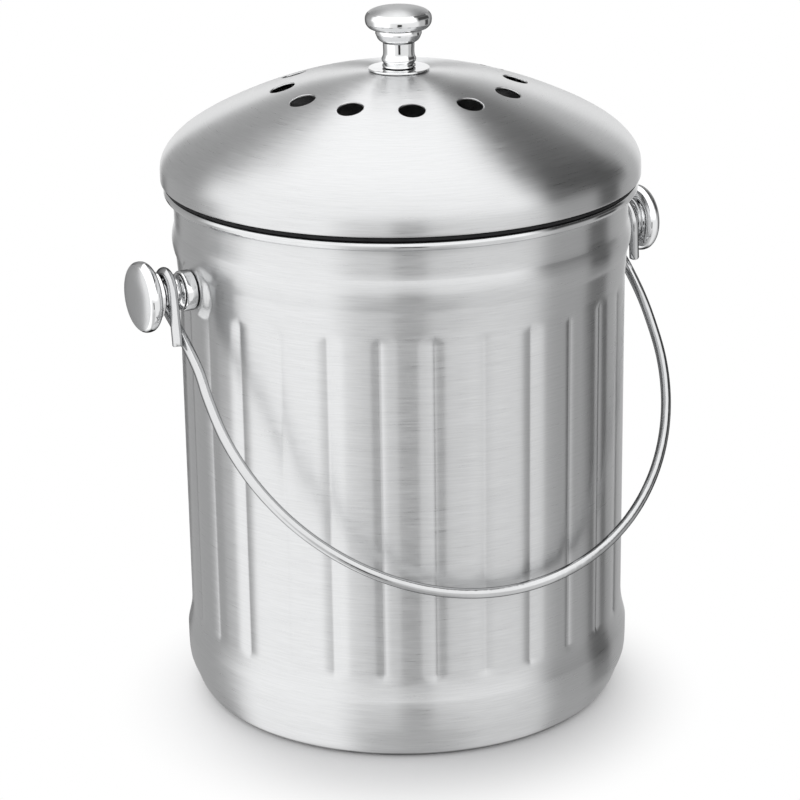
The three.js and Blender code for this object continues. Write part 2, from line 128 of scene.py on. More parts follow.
def camera_matrix():
    heading_cos, heading_sin = math.cos(camera_heading), math.sin(camera_heading)
    pitch_cos, pitch_sin = math.cos(camera_pitch), math.sin(camera_pitch)
    forward = Vector((heading_sin * pitch_cos, heading_cos * pitch_cos, -pitch_sin))
    level = Vector((heading_cos, -heading_sin, 0.0))
    upright = level.cross(forward)
    right = level * math.cos(camera_roll) + upright * math.sin(camera_roll)
    up = upright * math.cos(camera_roll) - level * math.sin(camera_roll)
    placed = Matrix((right, up, -forward)).transposed().to_4x4()
    placed.translation = camera_place
    return placed


def white_studio():
    """A studio of panels for the steel to mirror, which the camera itself sees as plain white."""
    world = bpy.data.worlds.new("white_studio")
    world.use_nodes = True
    tree = world.node_tree
    tree.nodes.clear()
    towards = add(tree, "TexCoord").outputs["Generated"]
    view = (camera_place - look_at).normalized()
    facing = add(tree, "VectorMath", {0: towards, 1: view}, operation="ADD").outputs[0]
    facing = add(tree, "VectorMath", {0: facing}, operation="NORMALIZE").outputs[0]
    parts = add(tree, "SeparateXYZ", {0: facing}).outputs
    turn = reckon(tree, "ARCTAN2", parts["X"], reckon(tree, "MULTIPLY", parts["Y"], -1.0))
    turn = reckon(tree, "WRAP", reckon(tree, "ADD", turn, camera_heading), -math.pi, math.pi)
    turn = degrees_of(tree, turn)
    height = degrees_of(tree, reckon(tree, "ARCSINE", parts["Z"]))
    grey = surround_grey
    for turns, heights, (soft_turn, soft_height), panel_grey in studio_panels:
        across = between(tree, turn, *turns, soft_turn)
        up = between(tree, height, *heights, soft_height)
        cover = reckon(tree, "MULTIPLY", across, up)
        grey = add(tree, "Mix", {0: cover, 2: grey, 3: panel_grey}).outputs[0]
    seen = add(tree, "LightPath").outputs["Is Camera Ray"]
    studio = add(tree, "CombineColor", {0: grey, 1: grey, 2: grey}).outputs[0]
    white = (1.0, 1.0, 1.0, 1.0)
    shown = add(tree, "Mix", {0: seen, 6: studio, 7: white}, data_type="RGBA").outputs[2]
    background = add(tree, "Background", {"Color": shown, "Strength": 1.0})
    tree.links.new(background.outputs[0], add(tree, "OutputWorld").inputs[0])
    return world


def new_material(name):
    material = bpy.data.materials.new(name)
    material.use_nodes = True
    material.node_tree.nodes.clear()
    return material, material.node_tree


def pale_table():
    """A pale matt table. It fades to white away from a middle that lies a little towards the camera."""
    material, tree = new_material("pale_table")
    place = add(tree, "TexCoord").outputs["Object"]
    middle = (-fade_shift * math.sin(camera_heading), -fade_shift * math.cos(camera_heading), 0.0)
    flat = add(tree, "VectorMath", {0: place, 1: middle}, operation="DISTANCE").outputs["Value"]
    far = spread(tree, flat, *table_fade)
    seen = add(tree, "LightPath").outputs["Is Camera Ray"]
    grain = add(tree, "TexNoise", {"Vector": place, "Scale": 900.0, "Detail": 2.0}).outputs["Fac"]
    bump = add(tree, "Bump", {"Height": grain, "Strength": 0.15, "Distance": 0.0002})
    matt = add(tree, "BsdfDiffuse", {"Color": table_color, "Normal": bump.outputs[0]})
    white = add(tree, "Emission", {"Strength": 1.0})
    fade = reckon(tree, "MULTIPLY", far, seen)
    shown = add(tree, "MixShader", {0: fade, 1: matt.outputs[0], 2: white.outputs[0]})
    tree.links.new(shown.outputs[0], add(tree, "OutputMaterial").inputs[0])
    return material


def soft_lamp():
    """A lamp that only shades the table and the matt pieces: the steel doesn't mirror it."""
    lamp = bpy.data.lights.new("key_lamp", "AREA")
    lamp.shape = "DISK"
    lamp.size = lamp_size
    lamp.energy = lamp_power
    lamp_object = bpy.data.objects.new("key_lamp", lamp)
    lamp_object.location = lamp_place
    lamp_object.rotation_euler = (lamp_aim - lamp_place).to_track_quat("-Z", "Y").to_euler()
    lamp_object.visible_glossy = False
    lamp_object.visible_camera = False
    bpy.context.collection.objects.link(lamp_object)


scene = bpy.context.scene
scene.view_settings.view_transform = "Standard"
scene.world = white_studio()
camera = bpy.data.objects.new("camera", bpy.data.cameras.new("camera"))
camera.data.lens = camera_lens
camera.data.clip_start = 0.01
camera.matrix_world = camera_matrix()
bpy.context.collection.objects.link(camera)
scene.camera = camera
soft_lamp()
bpy.ops.mesh.primitive_circle_add(vertices=96, radius=table_radius, fill_type="NGON")
table = bpy.context.object
table.name = "table"
table.data.materials.append(pale_table())
table.visible_glossy = False


# Pail body
# One drawn shell of stainless sheet: a band round the foot, 28 pressed V creases, a swaged bead, a
# neck and a rim curled outwards. A round boss is pressed out for each knob, and the outside is
# brushed round and round on a lathe.
sheet = 0.8 * mm
base_radius = 84.0 * mm
band_radius = 91.2 * mm
band_low = 19.0 * mm
band_high = 25.0 * mm
panel_radius = 89.3 * mm
panel_low = 36.0 * mm
shoulder_radius = 90.0 * mm
bead_low = 184.5 * mm
bead_middle = 191.0 * mm
bead_radius = 91.4 * mm
bead_high = 196.8 * mm
neck_radius = 90.2 * mm
curl_radius = 1.9 * mm
curl_start = -142.0
rim_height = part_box("pail_body")[1].z
foot_shares = [(0.0, 0.0), (0.236, 0.079), (0.472, 0.21), (0.68, 0.42), (0.944, 0.684), (1.0, 1.0)]
waist_shares = [(0.0, 0.0), (0.5, 0.35), (0.9, 0.73), (1.0, 1.0)]
swage_shares = [(0.0, 0.0), (0.62, 0.42), (1.0, 1.0)]
crease_count = 28
crease_low = 33.0 * mm
crease_high = 175.0 * mm
crease_fade = 4.0 * mm
crease_half = 7.4 * mm
crease_depth = 0.75 * mm
crease_curve = 2.2
first_crease = math.radians(5.35)
columns_each = 24
wall_sharp = 50.0
plain_sharp = 40.0
knob_height = 179.9 * mm
boss_face = 91.6 * mm
boss_flat = 9.2 * mm
boss_foot = 12.4 * mm
steel_color = (0.62, 0.625, 0.63)
line_width = 0.5 * mm
line_slant = -0.7
line_contrast = 0.1
line_relief = 0.16
line_depth = 0.04 * mm
fine_share = 0.7
broad_lines = 7.0
brushed_roughness = (0.25, 0.38)
plain_rim = 3.9 * mm
rim_fade = 0.3 * mm
rim_roughness = 0.35
# Painted contact shade along the pail's lowest edge: the height below which it is darkest, how far above that
# it fades out, and how dark it gets.
painted_shade_height = 0.9 * mm
painted_shade_fade = 1.2 * mm
painted_shade_factor = 0.3


def smooth(share):
    share = min(max(share, 0.0), 1.0)
    return share * share * (3.0 - 2.0 * share)


def blend(low, high, share):
    return low + (high - low) * share


def shared(start, end, shares):
    return [Vector((blend(start.x, end.x, across), blend(start.y, end.y, up))) for across, up in shares]


def places(*corners):
    return [Vector(corner) for corner in corners]


def curve_through(points, steps):
    """A smooth curve through the points, with this many steps between each two of them."""
    ends = [points[0] * 2.0 - points[1], *points, points[-1] * 2.0 - points[-2]]
    made = [points[0].copy()]
    for before, start, end, after in zip(ends, ends[1:], ends[2:], ends[3:]):
        first = max((start - before).length, 1e-9) ** 0.5
        middle = max((end - start).length, 1e-9) ** 0.5
        last = max((after - end).length, 1e-9) ** 0.5
        leave = (start - before) / first - (end - before) / (first + middle) + (end - start) / middle
        arrive = (end - start) / middle - (after - start) / (middle + last) + (after - end) / last
        leave, arrive = leave * middle, arrive * middle
        for step in range(1, steps + 1):
            t = step / steps
            bend = (end - start) * 3.0 - leave * 2.0 - arrive
            twist = (start - end) * 2.0 + leave + arrive
            made.append(start + leave * t + bend * t ** 2 + twist * t ** 3)
    return made


def arc(centre, radius, from_degrees, to_degrees, steps):
    turns = [math.radians(blend(from_degrees, to_degrees, step / steps)) for step in range(steps + 1)]
    return [centre + Vector((math.cos(turn), math.sin(turn))) * radius for turn in turns]


def straight(start, end, steps):
    return [start.lerp(end, step / steps) for step in range(steps + 1)]


def pulled_in(outline, distance):
    """The outline moved to its left by a distance: the inner face of a sheet drawn from the floor up."""
    made = []
    for place, here in enumerate(outline):
        before = outline[max(place - 1, 0)]
        after = outline[min(place + 1, len(outline) - 1)]
        along = (after - before).normalized()
        made.append(Vector((max(here.x - along.y * distance, 0.0), here.y + along.x * distance)))
    return made


def wall_outline():
    foot = shared(Vector((base_radius, 0.0)), Vector((band_radius, band_low)), foot_shares)
    waist = shared(Vector((band_radius, band_high)), Vector((panel_radius, panel_low)), waist_shares)
    bead = Vector((bead_radius, bead_middle))
    lower = shared(Vector((shoulder_radius, bead_low)), bead, swage_shares)
    upper = shared(Vector((neck_radius, bead_high)), bead, swage_shares)[::-1]
    crease_in = crease_low + crease_fade + mm
    boss_low = knob_height - boss_foot - mm
    stops = (panel_low, crease_in, boss_low, crease_high)
    panel = [Vector((panel_radius, height)) for height in stops]
    return [
        *places((0.0, 0.0), (base_radius * 0.5, 0.0), (base_radius - 1.5 * mm, 0.0)),
        *curve_through(foot, 3),
        *curve_through(waist, 3),
        *straight(panel[0], panel[1], 5)[1:],
        *straight(panel[1], panel[2], 8)[1:],
        *straight(panel[2], panel[3], 10)[1:],
        *straight(panel[3], lower[0], 12)[1:-1],
        *curve_through(lower + upper[1:], 5),
        *straight(upper[-1], Vector((neck_radius, rim_height - 2.0 * curl_radius)), 4)[1:],
    ]


def crease_press(turn, height):
    """How deep the nearest crease is pressed in at a place on the wall."""
    pitch = full_turn / crease_count
    off = (turn - first_crease + pitch / 2.0) % pitch - pitch / 2.0
    across = abs(off) * panel_radius / crease_half
    if across >= 1.0:
        return 0.0
    ends = smooth(min(height - crease_low, crease_high - height) / crease_fade)
    return crease_depth * (1.0 - across) ** crease_curve * ends


def boss_press(x, y, z, face):
    """The wall's x beside a knob, where a boss is pressed out to a flat face."""
    off_centre = math.hypot(y, z - knob_height)
    lift = smooth((boss_foot - off_centre) / (boss_foot - boss_flat))
    return math.copysign(max(abs(x), blend(abs(x), face, lift)), x)


def pressed_wall(radius, turn, height, face):
    radius -= crease_press(turn, height)
    x, y = radius * math.sin(turn), -radius * math.cos(turn)
    if abs(height - knob_height) < boss_foot and abs(y) < boss_foot:
        x = boss_press(x, y, height, face)
    return Vector((x, y, height))


def plain_wall(radius, turn, height):
    return Vector((radius * math.sin(turn), -radius * math.cos(turn), height))


def woven_faces(rings, is_closed):
    """Four-cornered faces between each ring of points and the next, facing outwards."""
    faces = []
    for lower, upper in zip(rings, rings[1:] + (rings[:1] if is_closed else [])):
        count = len(lower)
        for place in range(count):
            beside = (place + 1) % count
            corners = [lower[place], lower[beside], upper[beside], upper[place]]
            corners = [corner for spot, corner in enumerate(corners) if corner != corners[spot - 1]]
            if len(corners) > 2:
                faces.append(corners)
    return faces


def new_piece(name, vertices, faces, sharp_degrees=plain_sharp):
    mesh = bpy.data.meshes.new(name)
    mesh.from_pydata([tuple(vertex) for vertex in vertices], [], faces)
    mesh.validate()
    mesh.shade_smooth()
    mesh.set_sharp_from_angle(angle=math.radians(sharp_degrees))
    piece = bpy.data.objects.new(name, mesh)
    bpy.context.collection.objects.link(piece)
    return piece


def turned(name, outline, columns, is_closed=True, shape=plain_wall, sharp_degrees=plain_sharp,
           first_turn=0.0):
    """A piece turned about the pail's axis from an outline of (radius, height)."""
    vertices, rings = [], []
    for radius, height in outline:
        if radius < 1e-7:
            rings.append([len(vertices)] * columns)
            vertices.append(Vector((0.0, 0.0, height)))
            continue
        rings.append(list(range(len(vertices), len(vertices) + columns)))
        turns = [first_turn + full_turn * column / columns for column in range(columns)]
        vertices.extend(shape(radius, turn, height) for turn in turns)
    return new_piece(name, vertices, woven_faces(rings, is_closed), sharp_degrees)


def drawn_pail():
    """The whole shell: outside, curled rim, and the inside with half as many rows."""
    outside = wall_outline()
    outer_spots = {tuple(spot) for spot in outside}
    curl_centre = Vector((neck_radius + curl_radius, rim_height - curl_radius))
    lip_radius = curl_radius + sheet
    lip_centre = Vector((curl_centre.x, rim_height - lip_radius))
    inside = pulled_in(outside, sheet)[::-2][::-1]
    inside = [Vector((0.0, sheet)), *[place for place in inside if place.x > 0.0]]
    outline = [
        *outside,
        *arc(curl_centre, curl_radius, curl_start, 90.0, 18),
        *arc(lip_centre, lip_radius, 90.0, 180.0, 8)[1:],
        *inside[::-1],
    ]

    def drawn_wall(radius, turn, height):
        face = boss_face if (radius, height) in outer_spots else boss_face - sheet
        return pressed_wall(radius, turn, height, face)

    columns = crease_count * columns_each
    return turned("drawn_pail", outline, columns, False, drawn_wall, wall_sharp, first_crease)


def brushed_lines():
    """Fine lines left by brushing a turned piece, round its axis, as a value about one half."""
    group = bpy.data.node_groups.new("brushed_lines", "ShaderNodeTree")
    for name, value in (("Line Width", 0.0004), ("Streak Share", 7.0), ("Seed", 0.0)):
        socket = group.interface.new_socket(name, in_out="INPUT", socket_type="NodeSocketFloat")
        socket.default_value = value
    group.interface.new_socket("Lines", in_out="OUTPUT", socket_type="NodeSocketFloat")
    given = group.nodes.new("NodeGroupInput").outputs
    place = add(group, "SeparateXYZ", {0: add(group, "TexCoord").outputs["Object"]}).outputs
    flat = add(group, "CombineXYZ", {0: place["X"], 1: place["Y"], 2: 0.0}).outputs[0]
    radius = add(group, "VectorMath", {0: flat}, operation="LENGTH").outputs["Value"]
    around = add(group, "VectorMath", {0: flat}, operation="NORMALIZE").outputs[0]
    across = reckon(group, "MULTIPLY_ADD", radius, line_slant, place["Z"])
    across = reckon(group, "DIVIDE", across, given["Line Width"])
    streaks = {0: around, "Scale": given["Streak Share"]}
    around = add(group, "VectorMath", streaks, operation="SCALE").outputs[0]
    turn = add(group, "SeparateXYZ", {0: around}).outputs
    line_place = add(group, "CombineXYZ", {0: turn["X"], 1: turn["Y"], 2: across}).outputs[0]
    fine = add(group, "TexNoise", {
        "Vector": line_place, "W": given["Seed"], "Scale": 1.0, "Detail": 3.0, "Roughness": 0.65,
    }, noise_dimensions="4D").outputs["Fac"]
    out = group.nodes.new("NodeGroupOutput")
    group.links.new(fine, out.inputs["Lines"])
    return group


def tinted(tree, shade, color):
    """A colour made darker or lighter by a shade about one."""
    parts = {place: reckon(tree, "MULTIPLY", shade, part) for place, part in enumerate(color)}
    return add(tree, "CombineColor", parts).outputs[0]


def brushed_steel(name, rim=1.0, foot=-1.0):
    """Brushed steel, smoother above its rim and darkened below its foot by painted contact shade, if it
    reaches these heights.
    """
    material, tree = new_material(name)
    lines = add(tree, "Group", node_tree=brushed_group)
    lines.inputs["Line Width"].default_value = line_width
    broad = add(tree, "Group", node_tree=brushed_group)
    broad.inputs["Line Width"].default_value = line_width * broad_lines
    broad.inputs["Streak Share"].default_value = 3.0
    broad.inputs["Seed"].default_value = 4.0
    broad_part = reckon(tree, "MULTIPLY", broad.outputs[0], 1.0 - fine_share)
    mixed = reckon(tree, "MULTIPLY_ADD", lines.outputs[0], fine_share, broad_part)
    shade = spread(tree, mixed, 0.3, 0.7, 1.0 - line_contrast, 1.0 + line_contrast, "LINEAR")
    height = add(tree, "SeparateXYZ", {0: add(tree, "TexCoord").outputs["Object"]}).outputs["Z"]
    # Painted shade: the colour darkens below the foot height, standing in for the shadow where the pail meets
    # the table.
    shade = reckon(tree, "MULTIPLY", shade, spread(tree, height, foot, foot + painted_shade_fade, painted_shade_factor, 1.0))
    base = tinted(tree, shade, steel_color)
    rough = spread(tree, mixed, 0.3, 0.7, *brushed_roughness, "LINEAR")
    smoother = spread(tree, height, rim - rim_fade, rim + rim_fade, 1.0, rim_roughness)
    rough = reckon(tree, "MULTIPLY", rough, smoother)
    relief = add(tree, "Bump", {"Height": lines.outputs[0], "Strength": line_relief, "Distance": line_depth})
    around = add(tree, "Tangent", direction_type="RADIAL", axis="Z")
    shader = add(tree, "BsdfPrincipled", {
        "Base Color": base, "Roughness": rough, "Metallic": 1.0, "Anisotropic": 0.95,
        "Anisotropic Rotation": 0.25, "Tangent": around.outputs[0], "Normal": relief.outputs[0],
    })
    tree.links.new(shader.outputs[0], add(tree, "OutputMaterial").inputs[0])
    return material


def fitted(piece, node, material):
    """Puts the finish on a piece that stands for a node, and makes it move as the node does."""
    piece.data.materials.clear()
    piece.data.materials.append(material)
    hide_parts(node)
    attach(piece, body_of_node[node])
    return piece


body_of_node = {
    node: body for body, nodes in frame["record"]["behaviour"]["bodies"].items() for node in nodes
}
brushed_group = brushed_lines()
# The pail's steel has painted contact shade along its lowest edge.
pail_steel = brushed_steel("pail_steel", rim_height - plain_rim, painted_shade_height)
fitted(drawn_pail(), "pail_body", pail_steel)


# Side knobs, collars, washers and screws
# Each side has a turned and plated steel knob on a short polished collar. A pan-head screw holds them
# from inside the pail, through a steel washer and a rubber washer that keeps the hole tight.
hole_radius = 2.4 * mm
collar_radius = 7.9 * mm
collar_rounding = 0.7 * mm
rubber_radius = 7.6 * mm
rubber_rounding = 0.35 * mm
washer_radius = 7.0 * mm
washer_rounding = 0.15 * mm
screw_radius = 2.1 * mm
screw_head = (4.6 * mm, 2.6 * mm)
screw_slot = (5.2 * mm, 1.1 * mm, 1.8 * mm)
screw_reach = 9.0 * mm
cut_sharp = 35.0
# Places on a knob's outline are (radius, distance from its foot).
knob_foot = Vector((7.1, 0.5)) * mm
knob_foot_curve = Vector((5.7, 1.3)) * mm
knob_neck_start = Vector((5.1, 2.4)) * mm
knob_neck_end = Vector((5.1, 6.2)) * mm
knob_flare = Vector((5.6, 7.4)) * mm
knob_cup_foot = Vector((6.6, 8.1)) * mm
knob_cup = Vector((9.2, 9.4)) * mm
knob_groove = Vector((9.0, 10.2)) * mm
knob_waist = Vector((9.0, 10.9)) * mm
knob_head = Vector((13.8, 14.6)) * mm
knob_length = 19.5 * mm
knob_satin = 17.0 * mm
foot_bevel = 0.2 * mm
crown_shares = [(0.0, 0.0), (0.015, 0.29), (0.1, 0.58), (0.29, 0.815), (0.58, 0.957), (1.0, 1.0)]
cup_shares = [(0.0, 0.0), (0.62, 0.36), (1.0, 1.0)]
underside_shares = [(0.0, 0.0), (0.62, 0.2), (0.93, 0.6), (1.0, 1.0)]
turned_columns = 96
hidden_columns = 64
screw_columns = 48
corner_steps = 4
plated_color = (0.86, 0.865, 0.87)
dull_color = (0.58, 0.585, 0.59)


def rounded_ring(inner, outer, low, high, rounding):
    """The outline of a ring with round corners."""
    corners = [(outer, low, -90.0), (outer, high, 0.0), (inner, high, 90.0), (inner, low, 180.0)]
    outline = []
    for radius, height, start in corners:
        inwards = rounding if radius == inner else -rounding
        upwards = rounding if height == low else -rounding
        centre = Vector((radius + inwards, height + upwards))
        outline.extend(arc(centre, rounding, start, start + 90.0, corner_steps))
    return outline


def knob_foot_edge(foot):
    """The underside of a knob's foot and its small bevel."""
    return places((0.0, 0.0), (foot.x - foot_bevel, 0.0), (foot.x, foot_bevel))


def knob_top(cup, groove, waist, head, length):
    """A knob from its cup through the groove over it to the middle of its crown."""
    return [
        *curve_through([cup, groove, waist], 4)[1:],
        *curve_through(shared(waist, head, underside_shares), 4)[1:],
        *curve_through(shared(head, Vector((0.0, length)), crown_shares), 4)[1:],
    ]


def side_knob_outline():
    return [
        *knob_foot_edge(knob_foot),
        *curve_through([knob_foot, knob_foot_curve, knob_neck_start], 4),
        *curve_through([knob_neck_end, knob_flare, knob_cup_foot], 4),
        *curve_through(shared(knob_cup_foot, knob_cup, cup_shares), 4)[1:],
        *knob_top(knob_cup, knob_groove, knob_waist, knob_head, knob_length),
    ]


def screw_outline(shank_length):
    """A pan head below the seat, and a shank with a bevelled end above it."""
    radius, height = screw_head
    pan = places((radius * 0.5, -height), (radius * 0.86, -height * 0.8), (radius, -height * 0.3))
    return [
        Vector((0.0, -height)),
        *curve_through(pan, 4),
        *places((radius, -0.2 * mm), (radius - 0.2 * mm, 0.0), (screw_radius, 0.0)),
        *places((screw_radius, shank_length - mm), (screw_radius - 0.6 * mm, shank_length)),
        Vector((0.0, shank_length)),
    ]


def cut_by(piece, cutter, operation="DIFFERENCE"):
    """Cuts a piece with another, or joins them, and leaves one plain mesh."""
    change = piece.modifiers.new("cut", "BOOLEAN")
    change.operation = operation
    change.solver = "EXACT"
    change.object = cutter
    bpy.context.view_layer.update()
    evaluated = piece.evaluated_get(bpy.context.evaluated_depsgraph_get())
    mesh = bpy.data.meshes.new_from_object(evaluated)
    piece.modifiers.clear()
    piece.data = mesh
    mesh.shade_smooth()
    mesh.set_sharp_from_angle(angle=math.radians(cut_sharp))
    bpy.data.objects.remove(cutter)
    return piece


def box_piece(name, size, centre):
    mesh = bpy.data.meshes.new(name)
    shape = bmesh.new()
    placed = Matrix.Translation(centre) @ Matrix.Diagonal((*size, 1.0))
    bmesh.ops.create_cube(shape, size=1.0, matrix=placed)
    shape.to_mesh(mesh)
    shape.free()
    piece = bpy.data.objects.new(name, mesh)
    bpy.context.collection.objects.link(piece)
    return piece


def pan_screw(name, shank_length):
    """A screw with a cross cut in its head."""
    screw = turned(name, screw_outline(shank_length), screw_columns, False)
    length, width, depth = screw_slot
    centre = Vector((0.0, 0.0, -screw_head[1]))
    cut_by(screw, box_piece("slot_one", (length, width, depth), centre))
    return cut_by(screw, box_piece("slot_two", (width, length, depth), centre))


def on_pivot(piece, distance, side):
    """Stands a piece that was turned about the pail's axis on the pivot axis, on its own side."""
    turn = Matrix.Rotation(math.radians(90.0), 4, "Y")
    place = Matrix.Translation((distance, 0.0, knob_height))
    half = Matrix.Rotation(math.pi if side == "left" else 0.0, 4, "Z")
    piece.data.transform(half @ place @ turn)
    return piece


def pivot_reach(node):
    """Where a node starts and ends along the pivot axis, on its own side."""
    return sorted(abs(corner.x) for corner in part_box(node))


def side_ring(side, kind, name, radius, rounding, columns):
    start, end = pivot_reach(f"{side}_{kind}")
    outline = rounded_ring(hole_radius, radius, 0.0, end - start, rounding)
    return on_pivot(turned(f"{side}_{name}", outline, columns), start, side)


def worn_spots():
    """Small smudges and dull spots on smooth plating, as a mask."""
    group = bpy.data.node_groups.new("worn_spots", "ShaderNodeTree")
    socket = group.interface.new_socket("Size", in_out="INPUT", socket_type="NodeSocketFloat")
    socket.default_value = 0.01
    group.interface.new_socket("Spots", in_out="OUTPUT", socket_type="NodeSocketFloat")
    given = group.nodes.new("NodeGroupInput").outputs
    place = add(group, "TexCoord").outputs["Object"]
    scale = reckon(group, "DIVIDE", 1.0, given["Size"])
    soft = add(group, "TexNoise", {"Vector": place, "Scale": scale, "Detail": 4.0}).outputs["Fac"]
    out = group.nodes.new("NodeGroupOutput")
    group.links.new(spread(group, soft, 0.42, 0.72), out.inputs["Spots"])
    return group


def plain_finish(name, color, roughness, spot_size, bump, bump_size, metallic=1.0, specular=0.5, edge=1.0):
    """A finish of one colour with dull spots and a fine relief. A low edge darkens metal seen edge-on."""
    material, tree = new_material(name)
    spots = add(tree, "Group", {"Size": spot_size}, node_tree=spots_group).outputs[0]
    dim = spread(tree, spots, 0.0, 1.0, 1.0, 0.93, "LINEAR")
    rough = spread(tree, spots, 0.0, 1.0, *roughness, "LINEAR")
    place = add(tree, "TexCoord").outputs["Object"]
    grain = add(tree, "TexNoise", {"Vector": place, "Scale": 1.0 / bump_size, "Detail": 3.0}).outputs["Fac"]
    relief = add(tree, "Bump", {"Height": grain, "Strength": bump, "Distance": bump_size * 0.2})
    shader = add(tree, "BsdfPrincipled", {
        "Base Color": tinted(tree, dim, color), "Roughness": rough, "Metallic": metallic,
        "Specular IOR Level": specular, "Normal": relief.outputs[0],
    })
    shader.inputs["Specular Tint"].default_value = (edge, edge, edge, 1.0)
    tree.links.new(shader.outputs[0], add(tree, "OutputMaterial").inputs[0])
    return material


def satin_crown(knob, is_crown):
    """Gives the faces of a knob's crown the satin finish, inside its polished edge."""
    knob.data.materials.append(satin_steel)
    for face in knob.data.polygons:
        face.material_index = int(is_crown(face.center))


spots_group = worn_spots()
satin_steel = plain_finish(
    "satin_steel", dull_color, (0.3, 0.38), spot_size=9.0 * mm, bump=0.08, bump_size=0.8 * mm, edge=0.7,
)
plated_steel = plain_finish(
    "plated_steel", plated_color, (0.035, 0.08), spot_size=9.0 * mm, bump=0.05, bump_size=6.0 * mm, edge=0.15,
)
washer_steel = plain_finish(
    "washer_steel", dull_color, (0.28, 0.42), spot_size=4.0 * mm, bump=0.2, bump_size=0.6 * mm,
)
black_rubber = plain_finish(
    "black_rubber", (0.01, 0.01, 0.011), (0.6, 0.8), spot_size=5.0 * mm, bump=0.3, bump_size=0.5 * mm,
    metallic=0.0, specular=0.2,
)

for side in ("left", "right"):
    collar = side_ring(side, "collar", "collar_ring", collar_radius, collar_rounding, turned_columns)
    knob = turned(f"{side}_turned_knob", side_knob_outline(), turned_columns, False)
    rubber = side_ring(side, "seal_washer", "rubber_ring", rubber_radius, rubber_rounding, hidden_columns)
    washer = side_ring(side, "inner_washer", "steel_ring", washer_radius, washer_rounding, hidden_columns)
    knob_start = pivot_reach(f"{side}_knob")[0]
    screw_seat = pivot_reach(f"{side}_screw")[0] + screw_head[1]
    screw = pan_screw(f"{side}_pan_screw", knob_start + screw_reach - screw_seat)
    fitted(collar, f"{side}_collar", plated_steel)
    fitted(on_pivot(knob, knob_start, side), f"{side}_knob", plated_steel)
    satin_crown(knob, lambda place: abs(place.x) > knob_start + knob_satin)
    fitted(rubber, f"{side}_seal_washer", black_rubber)
    fitted(washer, f"{side}_inner_washer", washer_steel)
    fitted(on_pivot(screw, screw_seat, side), f"{side}_screw", washer_steel)


# Bail
# One length of round plated wire, bent to a half circle. Each end is wound once round the neck of a
# knob, and its cut tail crosses outside the wire that it came from.
wire_radius = 2.02 * mm
wire_sides = 20
wire_steps = 6
arch_radius = 99.3 * mm
arch_centre_down = 45.1 * mm
bail_lean = math.radians(40.8)
eye_bend_down = 30.0 * mm
eye_back_reach = 100.9 * mm
eye_front_reach = 102.8 * mm
eye_steps = 10
arch_step_degrees = 10
# Places along the wire are (along the pivot axis, down, out).
left_eye = {"radius": 8.2 * mm, "down": 0.0, "out": 0.0, "tail": Vector((104.0, 22.0, -1.0)) * mm}
right_eye = {"radius": 9.4 * mm, "down": mm, "out": mm, "tail": Vector((104.5, 16.8, -2.9)) * mm}


def angle_of(place):
    return math.atan2(place.y, place.x)


def eye_points(eye):
    """The wire once round a knob's neck and out to its cut tail."""
    centre = Vector((eye["down"], eye["out"]))
    bend = Vector((eye_bend_down, 0.0)) - centre
    tail = Vector((eye["tail"].y, eye["tail"].z)) - centre
    start = (angle_of(bend) - math.acos(eye["radius"] / bend.length)) % full_turn
    stop = (angle_of(tail) + math.acos(eye["radius"] / tail.length)) % full_turn
    made = []
    for step in range(eye_steps + 1):
        turn = blend(start, stop, step / eye_steps)
        made.append(Vector((
            blend(eye_back_reach, eye_front_reach, step / eye_steps),
            eye["down"] + eye["radius"] * math.cos(turn),
            eye["out"] + eye["radius"] * math.sin(turn),
        )))
    return [*made, made[-1].lerp(eye["tail"], 0.5), eye["tail"]]


def half_wire(eye):
    """The wire from beside the foot of the arch up to its eye."""
    made = []
    for degrees in range(arch_step_degrees, 90 + 1, arch_step_degrees):
        turn = math.radians(degrees)
        down = arch_centre_down + arch_radius * math.cos(turn)
        made.append(Vector((arch_radius * math.sin(turn), down, 0.0)))
    bend = Vector((arch_radius, eye_bend_down, 0.0))
    run = eye_points(eye)
    return [*made, made[-1].lerp(bend, 0.7), bend.lerp(run[0], 0.3), *run]


def wire_tube(name, path, radius, sides):
    """A round wire along a path, with its cut ends slightly rounded."""
    rings, vertices = [], []
    side = Vector((0.0, 1.0, 0.0))
    last = len(path) - 1
    rounding = [(0.0, radius * 0.8), (radius * 0.12, radius * 0.95), (radius * 0.3, radius)]
    for place, here in enumerate(path):
        along = (path[min(place + 1, last)] - path[max(place - 1, 0)]).normalized()
        side = (side - along * side.dot(along)).normalized()
        beside = along.cross(side)
        sizes = [(0.0, radius)]
        if place == 0:
            sizes = rounding
        if place == last:
            sizes = [(-onward, wide) for onward, wide in reversed(rounding)]
        for onward, wide in sizes:
            rings.append(list(range(len(vertices), len(vertices) + sides)))
            for spot in range(sides):
                turn = full_turn * spot / sides
                around = side * math.cos(turn) + beside * math.sin(turn)
                vertices.append(here + along * onward + around * wide)
    faces = [rings[0][::-1], *woven_faces(rings, False), rings[-1]]
    return new_piece(name, vertices, faces)


def bail_wire():
    foot = Vector((0.0, arch_centre_down + arch_radius, 0.0))
    left = [Vector((-place.x, place.y, place.z)) for place in half_wire(left_eye)]
    route = [*left[::-1], foot, *half_wire(right_eye)]
    path = curve_through([Vector((place.x, -place.z, -place.y)) for place in route], wire_steps)
    piece = wire_tube("bail_wire", path, wire_radius, wire_sides)
    lean = Matrix.Rotation(-bail_lean, 4, "X")
    piece.data.transform(Matrix.Translation((0.0, 0.0, knob_height)) @ lean)
    return piece


wire_steel = plain_finish(
    "wire_steel", (0.56, 0.565, 0.57), (0.1, 0.16), spot_size=14.0 * mm, bump=0.12, bump_size=9.0 * mm,
    edge=0.02,
)
fitted(bail_wire(), "bail_handle", wire_steel)


